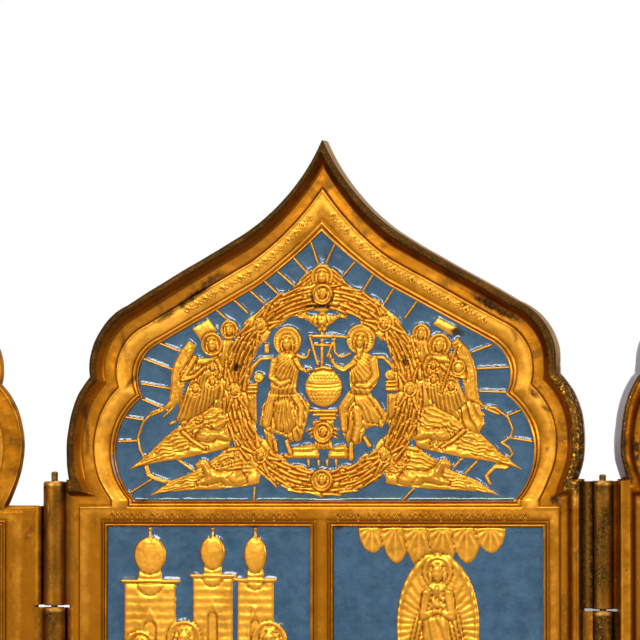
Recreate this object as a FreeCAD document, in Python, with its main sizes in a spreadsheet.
import FreeCAD, Part
import math
import os
from FreeCAD import Rotation, Vector

# Folding icon of four cast leaves that stand in a zigzag. Every leaf is modelled flat, facing -Y,
# with its back on the plane y = 0, its centre line on x = 0 and the foot of the wide leaves on z = 0.
# Then it is turned about Z and set on its hinges.

# Driving dimensions, in millimetres and degrees
SIZES = {
    # whole leaf
    "leaf_half_width": 48.6,
    "shoulder_height": 114.4,
    "shoulder_drop": 3.7,
    "tip_rise": 64.3,
    "lobe_setback": 0.5,
    "border_width": 8.8,
    "tip_border": 16.4,
    # thickness of the casting
    "plate_thickness": 2.7,
    "rim_height": 1.7,
    "bead_height": 0.2,
    "cell_depth": 0.9,
    "enamel_thickness": 0.5,
    "relief_proud": 0.05,
    # mouldings
    "rim_width": 1.1,
    "rim_slope": 1.35,
    "shoulder_rim": 2.2,
    "bead_width": 1.0,
    "field_bead": 1.1,
    "line_width": 0.25,
    "line_depth": 0.2,
    "ledge_width": 1.45,
    "lobe_ledge": 2.1,
    "open_side_margin": 2.0,
    "plain_margin": 3.2,
    "plain_lobe_margin": 2.4,
    # scene cells
    "scene_border": 7.55,
    "mullion_half": 2.2,
    "scene_head": 8.5,
    "scene_foot": 8.5,
    "row_rail": 5.0,
    # hinges
    "barrel_radius": 2.05,
    "edge_clearance": 0.55,
    "pin_radius": 0.64,
    "pin_clearance": 0.05,
    "pin_proud": 1.8,
    "knuckle_gap": 0.3,
    "stack_margin": 0.3,
    "back_clearance": 0.3,
    "face_clearance": 0.3,
    "web_overlap": 1.0,
    # plain leaves that nest inside the rims
    "nest_clearance": 0.5,
    "lobe_margin": 0.25,
    "shoulder_margin": 1.3,
    "foot_margin": 0.45,
    # stance
    "stance_angle": 19.0,
}

# Outline of a pediment above its base line: across as shares of its half width, up as shares of its
# rise. The foot of the lobe, the middle of the lobe, the cusp, the middle of the upper lobe, the start
# of the flank, the start of the ogee, the middle of the ogee, and the tip.
OUTER_SHARES = (
    (0.985, 0.058), (1.0, 0.148), (0.904, 0.347), (0.909, 0.389),
    (0.761, 0.547), (0.303, 0.742), (0.088, 0.888), (0.0, 1.0),
)
FIELD_SHARES = (
    (0.911, 0.001), (1.0, 0.222), (0.870, 0.388), (0.892, 0.476),
    (0.794, 0.588), (0.318, 0.795), (0.148, 0.896), (0.0, 1.0),
)

# Relief of the pediment beside the wreath: places as shares of the field's half width and rise. A
# standing figure is (across, foot, top, half width).
STANDING_SHARES = (0.583, 0.29, 0.645, 0.092)
UPPER_WEDGE_SHARES = ((0.924, 0.112), (0.484, 0.271), (0.44, 0.176))
LOWER_WEDGE_SHARES = ((0.81, 0.03), (0.425, 0.144), (0.36, 0.035))

# The wreath is a ring as large as the field takes, on the centre line. The rest are shares of its
# outer radius: the inner radius, half the gap between its pieces, and what stands inside it.
WREATH_HEIGHT_SHARE = 0.407
WREATH_OF_WIDTH_SHARE = 0.464
WREATH_OF_RISE_SHARE = 0.381
WREATH_INNER_SHARE = 0.797
WREATH_GAP_SHARE = 0.019
WREATH_PIECES = 8
GLOBE_SHARES = (0.033, 0.175)
ROSETTE_SHARES = (-0.449, 0.088)
CROSS_SHARES = (0.258, 0.5, 0.6)
CROSS_WIDTH_SHARE = 0.06
CROSS_ARM_SHARE = 0.118
SEATED_SHARES = (0.362, -0.51, 0.605, 0.159)

# Relief of the scenes: each figure or building is (across, foot, top, half width) in shares of the
# width and the height of the cell, across being counted from its middle
SCENE_SHARES = {
    "upper_left": {
        "figures": ((-0.27, 0.08, 0.56, 0.085), (0.0, 0.12, 0.66, 0.09), (0.27, 0.08, 0.56, 0.085)),
        "buildings": ((-0.3, 0.66, 0.93, 0.12), (0.3, 0.66, 0.93, 0.12)),
    },
    "upper_right": {
        "figures": ((-0.2, 0.08, 0.62, 0.09), (0.16, 0.08, 0.58, 0.09), (0.38, 0.1, 0.5, 0.07)),
        "buildings": ((-0.33, 0.7, 0.94, 0.1), (0.22, 0.68, 0.92, 0.16)),
    },
    "lower_left": {
        "figures": ((-0.36, 0.1, 0.52, 0.075), (-0.12, 0.08, 0.6, 0.09), (0.22, 0.08, 0.6, 0.1)),
        "buildings": ((-0.22, 0.7, 0.93, 0.17), (0.32, 0.68, 0.94, 0.1)),
    },
    "lower_right": {
        "figures": ((-0.3, 0.08, 0.55, 0.09), (-0.04, 0.08, 0.55, 0.08), (0.28, 0.1, 0.64, 0.1)),
        "buildings": ((-0.26, 0.66, 0.92, 0.14), (0.2, 0.72, 0.94, 0.12)),
    },
}
FIGURE_SHOULDER_SHARE = 0.72
FIGURE_NECK_SHARE = 0.8
FIGURE_HEAD_SHARE = 0.45
BUILDING_EAVES_SHARE = 0.6

KNUCKLES = 5
LEFT = -1
RIGHT = 1

doc = FreeCAD.newDocument("FoldingIcon")
sheet = doc.addObject("Spreadsheet::Sheet", "Sizes")
for row, (alias, value) in enumerate(SIZES.items(), start=1):
    sheet.set(f"A{row}", alias)
    sheet.set(f"B{row}", str(value))
    sheet.setAlias(f"B{row}", alias)
doc.recompute()


def size(alias):
    """The value of one cell of the sheet."""
    return float(getattr(sheet, alias))


HINGE_REACH = size("leaf_half_width") + size("edge_clearance") + size("barrel_radius")
LOBE_HALF_WIDTH = size("leaf_half_width") - size("lobe_setback")
BORDER_WIDTH = size("border_width")
FIELD_HALF_WIDTH = LOBE_HALF_WIDTH - BORDER_WIDTH
FIELD_RISE = size("tip_rise") - size("tip_border")
FIELD_BASE = size("shoulder_height") - size("shoulder_drop")
FLOOR_INSET = size("rim_width") + size("rim_slope")
SHOULDER_FLOOR = size("shoulder_rim") + size("rim_slope") / 2
LOBE_INSET = FLOOR_INSET + size("nest_clearance") + size("lobe_margin")
SHOULDER_INSET = SHOULDER_FLOOR + size("nest_clearance") + size("shoulder_margin")
FOOT_INSET = FLOOR_INSET + size("nest_clearance") + size("foot_margin")
SCENE_OUTER = size("leaf_half_width") - size("scene_border")
SCENE_WIDTH = SCENE_OUTER - size("mullion_half")
SCENE_HEIGHT = (size("shoulder_height") - size("scene_head") - size("row_rail") - size("scene_foot")) / 2
SCENE_TOPS = {
    "upper": size("shoulder_height") - size("scene_head"),
    "lower": size("scene_foot") + SCENE_HEIGHT,
}
SCENE_MIDDLES = {
    "left": -(SCENE_OUTER + size("mullion_half")) / 2,
    "right": (SCENE_OUTER + size("mullion_half")) / 2,
}
WREATH_CENTRE = FIELD_BASE + WREATH_HEIGHT_SHARE * FIELD_RISE
WREATH_RADIUS = min(WREATH_OF_WIDTH_SHARE * FIELD_HALF_WIDTH, WREATH_OF_RISE_SHARE * FIELD_RISE)
CELL_FLOOR = "Sizes.plate_thickness - Sizes.cell_depth"


def mix(first, second, share):
    return first + (second - first) * share


def line(first, second):
    return Part.LineSegment(Vector(*first, 0), Vector(*second, 0))


def arc(first, middle, second):
    return Part.Arc(Vector(*first, 0), Vector(*middle, 0), Vector(*second, 0))


def polygon(points):
    return [line(first, second) for first, second in zip(points, points[1:] + points[:1])]


def rectangle(left, bottom, right, top):
    return polygon([(left, bottom), (right, bottom), (right, top), (left, top)])


def circle(across, up, radius):
    return [Part.Circle(Vector(across, up, 0), Vector(0, 0, 1), radius)]


# Pediment outlines

def contour_points(inset):
    """Right half of the pediment's outline at an inset from the outer edge, in millimetres."""
    share = inset / BORDER_WIDTH
    points = []
    for (outer_across, outer_up), (field_across, field_up) in zip(OUTER_SHARES, FIELD_SHARES):
        across = mix(outer_across * LOBE_HALF_WIDTH, field_across * FIELD_HALF_WIDTH, share)
        up = mix(outer_up * size("tip_rise"), field_up * FIELD_RISE, share)
        points.append((across, FIELD_BASE + up))
    return points


def foot_on_lobe(points, height):
    """Where the circle of the lobe, through its foot, middle and cusp, crosses a height."""
    lobe = Part.Circle(*(Vector(across, up, 0) for across, up in points[:3]))
    reach = math.sqrt(lobe.Radius**2 - (height - lobe.Center.y) ** 2)
    return (lobe.Center.x + reach, height)


def crown(inset, height):
    """Pediment outline from its right foot over the tip to its left foot, with both feet at a height."""
    points = contour_points(inset)
    foot, lobe, cusp, upper, flank, ogee, bend, tip = points
    foot = foot_on_lobe(points, height)
    flip = [(-across, up) for across, up in (foot, lobe, cusp, upper, flank, ogee, bend)]
    left_foot, left_lobe, left_cusp, left_upper, left_flank, left_ogee, left_bend = flip
    edges = [
        arc(foot, lobe, cusp),
        arc(cusp, upper, flank),
        line(flank, ogee),
        arc(ogee, bend, tip),
        arc(tip, left_bend, left_ogee),
        line(left_ogee, left_flank),
        arc(left_flank, left_upper, left_cusp),
        arc(left_cusp, left_lobe, left_foot),
    ]
    return edges, foot, left_foot


def leaf_outline(inset, left, right, bottom, top):
    """A pediment outline on a rectangular body."""
    edges, foot, left_foot = crown(inset, top)
    return [
        line((-left, bottom), (right, bottom)),
        line((right, bottom), (right, top)),
        line((right, top), foot),
        *edges,
        line(left_foot, (-left, top)),
        line((-left, top), (-left, bottom)),
    ]


def field_outline(inset, bottom):
    """A pediment outline closed by a straight foot."""
    edges, foot, left_foot = crown(inset, bottom)
    return [*edges, line(left_foot, foot)]


# Relief outlines

def figure(middle, foot, top, half_width):
    """A robed figure: a flared robe, sloping shoulders and a round head."""
    shoulder = mix(foot, top, FIGURE_SHOULDER_SHARE)
    neck = mix(foot, top, FIGURE_NECK_SHARE)
    head = half_width * FIGURE_HEAD_SHARE
    return [
        line((middle - half_width, foot), (middle + half_width, foot)),
        line((middle + half_width, foot), (middle + half_width * FIGURE_NECK_SHARE, shoulder)),
        line((middle + half_width * FIGURE_NECK_SHARE, shoulder), (middle + head, neck)),
        arc((middle + head, neck), (middle, top), (middle - head, neck)),
        line((middle - head, neck), (middle - half_width * FIGURE_NECK_SHARE, shoulder)),
        line((middle - half_width * FIGURE_NECK_SHARE, shoulder), (middle - half_width, foot)),
    ]


def building(middle, foot, top, half_width):
    """A building with a gable."""
    eaves = mix(foot, top, BUILDING_EAVES_SHARE)
    return polygon([
        (middle - half_width, foot), (middle + half_width, foot), (middle + half_width, eaves),
        (middle, top), (middle - half_width, eaves),
    ])


def wreath_piece(index):
    """One of the wing groups of the wreath, between two radii."""
    inner = WREATH_INNER_SHARE * WREATH_RADIUS
    outer = WREATH_RADIUS
    middle_angle = 2 * math.pi * index / WREATH_PIECES
    half_angle = math.pi / WREATH_PIECES - WREATH_GAP_SHARE

    def at(radius, angle):
        return (radius * math.sin(angle), WREATH_CENTRE + radius * math.cos(angle))

    first = middle_angle - half_angle
    second = middle_angle + half_angle
    return [
        arc(at(outer, first), at(outer, middle_angle), at(outer, second)),
        line(at(outer, second), at(inner, second)),
        arc(at(inner, second), at(inner, middle_angle), at(inner, first)),
        line(at(inner, first), at(outer, first)),
    ]


def in_field(across_share, up_share, side):
    return (side * across_share * FIELD_HALF_WIDTH, FIELD_BASE + up_share * FIELD_RISE)


def standing_figure(side):
    across_share, foot_share, top_share, half_share = STANDING_SHARES
    middle, foot = in_field(across_share, foot_share, side)
    top = in_field(across_share, top_share, side)[1]
    return figure(middle, foot, top, half_share * FIELD_HALF_WIDTH)


def in_wreath(up_share):
    return WREATH_CENTRE + up_share * WREATH_RADIUS


def seated_figure(side):
    across_share, foot_share, top_share, half_share = SEATED_SHARES
    middle = side * across_share * WREATH_RADIUS
    return figure(middle, in_wreath(foot_share), in_wreath(top_share), half_share * WREATH_RADIUS)


def cross_outline():
    half = CROSS_WIDTH_SHARE / 2 * WREATH_RADIUS
    arm = CROSS_ARM_SHARE * WREATH_RADIUS
    foot, bar, top = (in_wreath(share) for share in CROSS_SHARES)
    right_side = [(half, foot), (half, bar - half), (arm, bar - half), (arm, bar + half), (half, bar + half)]
    right_side.append((half, top))
    return polygon(right_side + [(-across, up) for across, up in reversed(right_side)])


def pediment_relief():
    """Every raised group on the pediment's field, none touching another."""
    groups = [wreath_piece(index) for index in range(WREATH_PIECES)]
    for up_share, radius_share in (GLOBE_SHARES, ROSETTE_SHARES):
        groups.append(circle(0, in_wreath(up_share), radius_share * WREATH_RADIUS))
    groups.append(cross_outline())
    for side in (LEFT, RIGHT):
        groups.append(seated_figure(side))
        groups.append(standing_figure(side))
        for wedge in (UPPER_WEDGE_SHARES, LOWER_WEDGE_SHARES):
            groups.append(polygon([in_field(across, up, side) for across, up in wedge]))
    return groups


def scene_box(name):
    """The corners of a scene cell: left, bottom, right, top."""
    row_name, column_name = name.split("_")
    top = SCENE_TOPS[row_name]
    middle = SCENE_MIDDLES[column_name]
    return (middle - SCENE_WIDTH / 2, top - SCENE_HEIGHT, middle + SCENE_WIDTH / 2, top)


def scene_relief(name):
    left, bottom, right, top = scene_box(name)
    groups = []
    for make, key in ((figure, "figures"), (building, "buildings")):
        for across, foot, head, half in SCENE_SHARES[name][key]:
            groups.append(make(
                (left + right) / 2 + across * SCENE_WIDTH,
                mix(bottom, top, foot),
                mix(bottom, top, head),
                half * SCENE_WIDTH,
            ))
    return groups


# Features of a body

def new_body(label):
    body = doc.addObject("PartDesign::Body", label)
    body.Label = label
    return body


def origin_plane(body, role):
    return next(item for item in body.Origin.OriginFeatures if item.Role == role)


def add_sketch(body, name, wires, depth="0", role="XZ_Plane"):
    """A sketch on a plane of the body's origin, moved along its normal by an expression."""
    sketch = body.newObject("Sketcher::SketchObject", name)
    sketch.AttachmentSupport = [(origin_plane(body, role), "")]
    sketch.MapMode = "FlatFace"
    sketch.setExpression("AttachmentOffset.Base.z", depth)
    for wire in wires:
        for edge in wire:
            sketch.addGeometry(edge, False)
    return sketch


def pad(body, name, wires, length, depth="0"):
    """Material from a plane towards the front."""
    feature = body.newObject("PartDesign::Pad", name)
    feature.Profile = add_sketch(body, name + "_sketch", wires, depth)
    feature.setExpression("Length", length)
    return feature


def pocket(body, name, wires, length, depth):
    """A cut from a plane towards the back."""
    feature = body.newObject("PartDesign::Pocket", name)
    feature.Profile = add_sketch(body, name + "_sketch", wires, depth)
    feature.setExpression("Length", length)
    return feature


def turned(body, kind, name, rectangles, axis_across, depth):
    """Rectangles turned about a vertical line, as new material or as a cut."""
    feature = body.newObject(kind, name)
    sketch = add_sketch(body, name + "_sketch", rectangles, depth)
    sketch.addGeometry(line((axis_across, 0), (axis_across, size("shoulder_height"))), True)
    feature.Profile = sketch
    feature.ReferenceAxis = (sketch, ["Axis0"])
    feature.Angle = 360.0
    return feature


# Leaves

class Leaf:
    """One leaf: where it has rims, and which knuckles of which hinge it carries on each side."""

    def __init__(self, name, rimmed, nest_side, knuckles):
        self.name = name
        self.rimmed = rimmed
        self.nest_side = nest_side
        self.knuckles = knuckles
        self.inset = 0.0 if rimmed else LOBE_INSET
        self.top = size("shoulder_height") - (0.0 if rimmed else SHOULDER_INSET)
        self.bottom = 0.0 if rimmed else FOOT_INSET
        narrow = size("leaf_half_width") - FLOOR_INSET - size("nest_clearance")
        wide = size("leaf_half_width")
        self.left = wide if rimmed or nest_side == LEFT else narrow
        self.right = wide if rimmed or nest_side == RIGHT else narrow

    def outline(self, more=0.0):
        """The leaf's own outline, moved in by some distance all round."""
        return leaf_outline(
            self.inset + more, self.left - more, self.right - more, self.bottom + more, self.top - more)


def tray_outline(leaf, inset, shoulder_inset):
    """The edge of the sunk face of a rimmed leaf, open past the side where the plain leaf is hinged."""
    beyond = size("leaf_half_width") + size("bead_width")
    left = beyond if leaf.nest_side == LEFT else leaf.left - inset
    right = beyond if leaf.nest_side == RIGHT else leaf.right - inset
    return leaf_outline(inset, left, right, inset, leaf.top - shoulder_inset)


def add_rim(body, leaf):
    """Raises the whole leaf to its rim and sinks its face again, with a sloping wall."""
    pad(body, leaf.name + "_rim", [leaf.outline()], "Sizes.rim_height", "Sizes.plate_thickness")
    tray = body.newObject("PartDesign::SubtractiveLoft", leaf.name + "_tray")
    floor = tray_outline(leaf, FLOOR_INSET, SHOULDER_FLOOR)
    edge = tray_outline(leaf, size("rim_width"), size("shoulder_rim"))
    tray.Profile = add_sketch(body, leaf.name + "_tray_floor", [floor], "Sizes.plate_thickness")
    top = add_sketch(body, leaf.name + "_tray_edge", [edge], "Sizes.plate_thickness + Sizes.rim_height")
    tray.Sections = [top]
    tray.Ruled = True


def line_outline(leaf, more):
    """The incised line that follows the leaf's edge on the flat of the border."""
    if leaf.rimmed:
        margin = FLOOR_INSET + size("ledge_width")
        open_margin = size("open_side_margin")
        left = leaf.left - (open_margin if leaf.nest_side == LEFT else margin)
        right = leaf.right - (open_margin if leaf.nest_side == RIGHT else margin)
        inset = FLOOR_INSET + size("lobe_ledge")
        top = FIELD_BASE - size("field_bead")
    else:
        margin = size("plain_margin")
        left = leaf.left - margin
        right = leaf.right - margin
        inset = leaf.inset + size("plain_lobe_margin")
        top = leaf.top - size("field_bead")
    return leaf_outline(inset + more, left - more, right - more, leaf.bottom + margin + more, top - more)


def scene_names():
    return [f"{row_name}_{column_name}" for row_name in SCENE_TOPS for column_name in SCENE_MIDDLES]


def grown(box, amount):
    left, bottom, right, top = box
    return (left - amount, bottom - amount, right + amount, top + amount)


def add_cells(body, leaf):
    """Cells for the enamel, a raised bead round each, and the relief that stands in them."""
    beads = [
        field_outline(BORDER_WIDTH - size("field_bead"), FIELD_BASE - size("field_bead")),
        field_outline(BORDER_WIDTH, FIELD_BASE),
    ]
    cells = [field_outline(BORDER_WIDTH, FIELD_BASE)]
    relief = pediment_relief()
    for name in scene_names():
        box = scene_box(name)
        beads.append(rectangle(*grown(box, size("bead_width"))))
        beads.append(rectangle(*box))
        cells.append(rectangle(*box))
        relief.extend(scene_relief(name))
    pad(body, leaf.name + "_beads", beads, "Sizes.bead_height", "Sizes.plate_thickness")
    pocket(body, leaf.name + "_cells", cells, "Sizes.cell_depth", "Sizes.plate_thickness")
    pad(body, leaf.name + "_relief", relief, "Sizes.cell_depth + Sizes.relief_proud", CELL_FLOOR)


def knuckle_spans(low, high, places):
    """Bottom and top of the given knuckles of a hinge, counted from the top."""
    tall = (high - low - (KNUCKLES - 1) * size("knuckle_gap")) / KNUCKLES
    spans = []
    for place in places:
        top = high - place * (tall + size("knuckle_gap"))
        spans.append((top - tall, top))
    return spans


def add_knuckles(body, leaf, side, hinge):
    """Webs, barrels and the bore of one hinge, on one side of the leaf."""
    name = f"{leaf.name}_{hinge.name}"
    axis = side * HINGE_REACH
    root = side * (size("leaf_half_width") - size("web_overlap"))
    spans = knuckle_spans(hinge.low, hinge.high, leaf.knuckles[side])
    webs = [rectangle(min(root, axis), low, max(root, axis), high) for low, high in spans]
    pad(body, name + "_webs", webs, hinge.web_length, hinge.web_depth)
    radius = size("barrel_radius")
    barrels = [rectangle(axis, low, axis + radius, high) for low, high in spans]
    turned(body, "PartDesign::Revolution", name + "_barrels", barrels, axis, hinge.depth)
    bore = size("pin_radius") + size("pin_clearance")
    hole = [rectangle(axis, hinge.low - bore, axis + bore, hinge.high + bore)]
    turned(body, "PartDesign::Groove", name + "_bore", hole, axis, hinge.depth)


class Hinge:
    """One hinge: its axis in front of or behind the backs of its leaves, and the height it spans."""

    def __init__(self, name, front, low, high):
        self.name = name
        self.low = low + size("stack_margin")
        self.high = high - size("stack_margin")
        if front:
            self.depth = "Sizes.plate_thickness + Sizes.bead_height + Sizes.face_clearance / 2"
            self.offset = size("plate_thickness") + size("bead_height") + size("face_clearance") / 2
            self.web_depth = self.depth + " - Sizes.barrel_radius"
            self.web_length = "Sizes.barrel_radius - Sizes.bead_height - Sizes.face_clearance / 2"
        else:
            self.depth = "-Sizes.back_clearance / 2"
            self.offset = -size("back_clearance") / 2
            self.web_depth = "0"
            self.web_length = "Sizes.barrel_radius - Sizes.back_clearance / 2"


def casting(leaf, hinges):
    body = new_body(leaf.name + "_casting")
    pad(body, leaf.name + "_plate", [leaf.outline()], "Sizes.plate_thickness")
    if leaf.rimmed:
        add_rim(body, leaf)
    add_cells(body, leaf)
    half = size("line_width") / 2
    ring = [line_outline(leaf, -half), line_outline(leaf, half)]
    pocket(body, leaf.name + "_line", ring, "Sizes.line_depth", "Sizes.plate_thickness")
    for side, hinge in hinges:
        add_knuckles(body, leaf, side, hinge)
    return body


def enamel(name, cell, relief):
    body = new_body(name)
    pad(body, name + "_glass", [cell, *relief], "Sizes.enamel_thickness", CELL_FLOOR)
    return body


def pin(name, hinge):
    """Wire pin with a rounded top that stands proud of the top knuckle."""
    body = new_body(name)
    feature = body.newObject("PartDesign::Revolution", name + "_wire")
    radius = size("pin_radius")
    top = hinge.high + size("pin_proud")
    cheek = math.sqrt(0.5) * radius
    profile = [
        line((0, hinge.low), (radius, hinge.low)),
        line((radius, hinge.low), (radius, top - radius)),
        arc((radius, top - radius), (cheek, top - radius + cheek), (0, top)),
        line((0, top), (0, hinge.low)),
    ]
    sketch = add_sketch(body, name + "_profile", [profile])
    feature.Profile = sketch
    feature.ReferenceAxis = (sketch, ["V_Axis"])
    feature.Angle = 360.0
    return body


# Stance: where each leaf stands, found by walking along the hinges from the middle one

def turn(point, angle):
    across, back = point
    cosine = math.cos(math.radians(angle))
    sine = math.sin(math.radians(angle))
    return (across * cosine - back * sine, across * sine + back * cosine)


def plus(first, second):
    return (first[0] + second[0], first[1] + second[1])


def minus(first, second):
    return (first[0] - second[0], first[1] - second[1])


wide_top = size("shoulder_height")
plain_top = size("shoulder_height") - SHOULDER_INSET
hinge_1_2 = Hinge("hinge_1_2", True, 0.0, wide_top)
hinge_2_3 = Hinge("hinge_2_3", False, 0.0, wide_top)
hinge_3_4 = Hinge("hinge_3_4", True, FOOT_INSET, plain_top)

carried_by_right = tuple(range(0, KNUCKLES, 2))
carried_by_left = tuple(range(1, KNUCKLES, 2))
leaves = [
    Leaf("leaf_1", False, RIGHT, {RIGHT: carried_by_left}),
    Leaf("leaf_2", True, LEFT, {LEFT: carried_by_right, RIGHT: carried_by_left}),
    Leaf("leaf_3", True, RIGHT, {LEFT: carried_by_right, RIGHT: carried_by_left}),
    Leaf("leaf_4", False, LEFT, {LEFT: carried_by_right}),
]
leaf_hinges = {
    "leaf_1": [(RIGHT, hinge_1_2)],
    "leaf_2": [(LEFT, hinge_1_2), (RIGHT, hinge_2_3)],
    "leaf_3": [(LEFT, hinge_2_3), (RIGHT, hinge_3_4)],
    "leaf_4": [(LEFT, hinge_3_4)],
}
angle = size("stance_angle")
leaf_angles = {"leaf_1": angle, "leaf_2": -angle, "leaf_3": angle, "leaf_4": -angle}


def hinge_point(side, hinge):
    """Where a hinge's axis lies on the leaf, seen from above."""
    return (side * HINGE_REACH, -hinge.offset)


ridge = (0.0, 0.0)
places = {
    "leaf_2": minus(ridge, turn(hinge_point(RIGHT, hinge_2_3), -angle)),
    "leaf_3": minus(ridge, turn(hinge_point(LEFT, hinge_2_3), angle)),
}
axis_1_2 = plus(places["leaf_2"], turn(hinge_point(LEFT, hinge_1_2), -angle))
axis_3_4 = plus(places["leaf_3"], turn(hinge_point(RIGHT, hinge_3_4), angle))
places["leaf_1"] = minus(axis_1_2, turn(hinge_point(RIGHT, hinge_1_2), angle))
places["leaf_4"] = minus(axis_3_4, turn(hinge_point(LEFT, hinge_3_4), -angle))

parts = {}
for leaf in leaves:
    bodies = [casting(leaf, leaf_hinges[leaf.name])]
    cell = field_outline(BORDER_WIDTH, FIELD_BASE)
    bodies.append(enamel(leaf.name + "_pediment_enamel", cell, pediment_relief()))
    for name in scene_names():
        cell = rectangle(*scene_box(name))
        bodies.append(enamel(f"{leaf.name}_{name}_enamel", cell, scene_relief(name)))
    parts[leaf.name] = bodies
pins = [
    (pin("hinge_pin_1_2", hinge_1_2), axis_1_2),
    (pin("hinge_pin_2_3", hinge_2_3), ridge),
    (pin("hinge_pin_3_4", hinge_3_4), axis_3_4),
]
doc.recompute()

# The middle of the standing icon's depth lies on y = 0
turns = {name: Rotation(Vector(0, 0, 1), turned_by) for name, turned_by in leaf_angles.items()}
depths = []
for leaf in leaves:
    shape = parts[leaf.name][0].Shape.copy()
    shape.Placement = FreeCAD.Placement(Vector(*places[leaf.name], 0), turns[leaf.name])
    box = shape.optimalBoundingBox(False, False)
    depths.extend((box.YMin, box.YMax))
middle = (0.0, -(min(depths) + max(depths)) / 2)

for leaf in leaves:
    where = Vector(*plus(places[leaf.name], middle), 0)
    for body in parts[leaf.name]:
        body.Placement = FreeCAD.Placement(where, turns[leaf.name])
for body, place in pins:
    body.Placement = FreeCAD.Placement(Vector(*plus(place, middle), 0), Rotation())
doc.recompute()

# Checks, then one file for each piece
for item in doc.Objects:
    if "Invalid" in item.State or "Error" in item.State:
        raise RuntimeError(f"{item.Label} failed: {item.State}")
nodes = [body for leaf in leaves for body in parts[leaf.name]] + [body for body, place in pins]
os.makedirs("parts", exist_ok=True)
for body in nodes:
    if body.Shape.isNull() or not body.Shape.isValid():
        raise RuntimeError(f"{body.Label} has no valid shape")
for body in nodes:
    body.Shape.exportStep(f"parts/{body.Label}.step")
    print(f"{body.Label}: {len(body.Shape.Solids)} solid, {body.Shape.Volume:.1f} mm3")
for name, place in (("hinge_1_2", axis_1_2), ("hinge_2_3", ridge), ("hinge_3_4", axis_3_4)):
    across, back = plus(place, middle)
    print(f"{name} axis at x {across:.3f}, y {back:.3f}")
